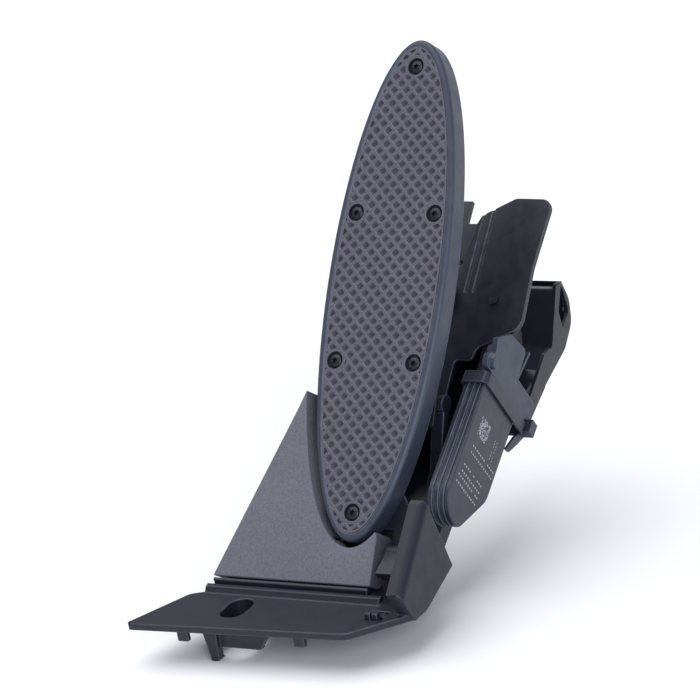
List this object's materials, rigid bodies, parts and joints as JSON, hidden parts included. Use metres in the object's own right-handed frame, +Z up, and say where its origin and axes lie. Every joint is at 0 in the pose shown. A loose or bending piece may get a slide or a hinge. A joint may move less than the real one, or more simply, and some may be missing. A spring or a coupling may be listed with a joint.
{
  "type": "floor-hinged accelerator pedal module",
  "caption": "Floor-hinged foot pedal with an oval lattice tread, grained heel cover, slotted floor flange, and a sprung lever that turns a side-mounted angle sensor.",
  "frame": {"origin": "underside of the floor flange, in the tread middle plane, level with the centre of the bolt slot", "axes": "+Z up, +Y forwards away from the driver, +X to the driver right, along the pedal hinge"},
  "size_m": [0.1424, 0.2276, 0.2385],
  "materials": {
    "glass_filled_nylon": "fine moulded grain, charcoal",
    "grained_cover": "coarse spark-eroded grain",
    "guard_plastic": "smooth moulded, satin",
    "sensor_plastic": "smooth moulded, satin",
    "bracket_plastic": "smooth moulded, blue-grey",
    "bezel_plastic": "satin moulded with a polished edge",
    "tread_rubber": "moulded square lattice",
    "tie_nylon": "smooth nylon",
    "acetal": "natural acetal, smooth",
    "rubber": "moulded rubber",
    "pin_steel": "ground steel",
    "zinc_steel": "zinc plated",
    "black_steel": "black oxide",
    "spring_steel": "drawn spring wire",
    "board": "solder mask",
    "chip_resin": "moulded resin",
    "tin_brass": "tinned",
    "magnet": "sintered"
  },
  "bodies": {
    "base": {"base_frame": "glass_filled_nylon", "flange_clip": "glass_filled_nylon", "rest_stop_buffer": "rubber", "heel_cover": "grained_cover", "rear_housing": "glass_filled_nylon", "housing_screws": "zinc_steel", "guard_plate": "guard_plastic", "guard_screws": "zinc_steel", "full_travel_buffer": "rubber", "sensor_housing": "sensor_plastic", "sensor_seal": "rubber", "sensor_lid": "sensor_plastic", "circuit_board": "board", "sensor_chips": "chip_resin", "rotor_bush": "acetal", "side_bracket": "bracket_plastic", "cable_tie": "tie_nylon", "cable_hood": "guard_plastic", "connector_shroud": "glass_filled_nylon", "connector_pins": "tin_brass", "hinge_pin_left": "pin_steel", "hinge_pin_right": "pin_steel", "pin_clip": "pin_steel", "thrust_washers": "acetal", "return_spring_outer": "spring_steel", "return_spring_inner": "spring_steel"},
    "pedal": {"pedal_carrier": "glass_filled_nylon", "tread_bezel": "bezel_plastic", "tread_pad": "tread_rubber", "tread_screws": "black_steel", "hinge_bushes": "acetal", "drive_pad": "acetal"},
    "lever": {"rotor_lever": "glass_filled_nylon", "rotor_shaft": "pin_steel", "slide_shoe": "acetal", "rotor_cup": "acetal", "rotor_magnet": "magnet"}
  },
  "joints": [
    {"name": "pedal_hinge", "type": "hinge", "parent": "base", "child": "pedal", "pos_m": [0, 0.03943, 0.01611], "axis": [-1, 0, 0], "range_deg": [0, 12], "stiffness_Nm_per_rad": 2.4, "springref_deg": -20.05, "deforming": ["return_spring_outer", "return_spring_inner"]},
    {"name": "lever_turn", "type": "hinge", "parent": "base", "child": "lever", "pos_m": [0, 0.08, 0.035], "axis": [-1, 0, 0], "range_deg": [0, 27]}
  ],
  "couplings": [
    {"joint": "lever_turn", "follows": "pedal_hinge", "ratio": 2.12}
  ]
}
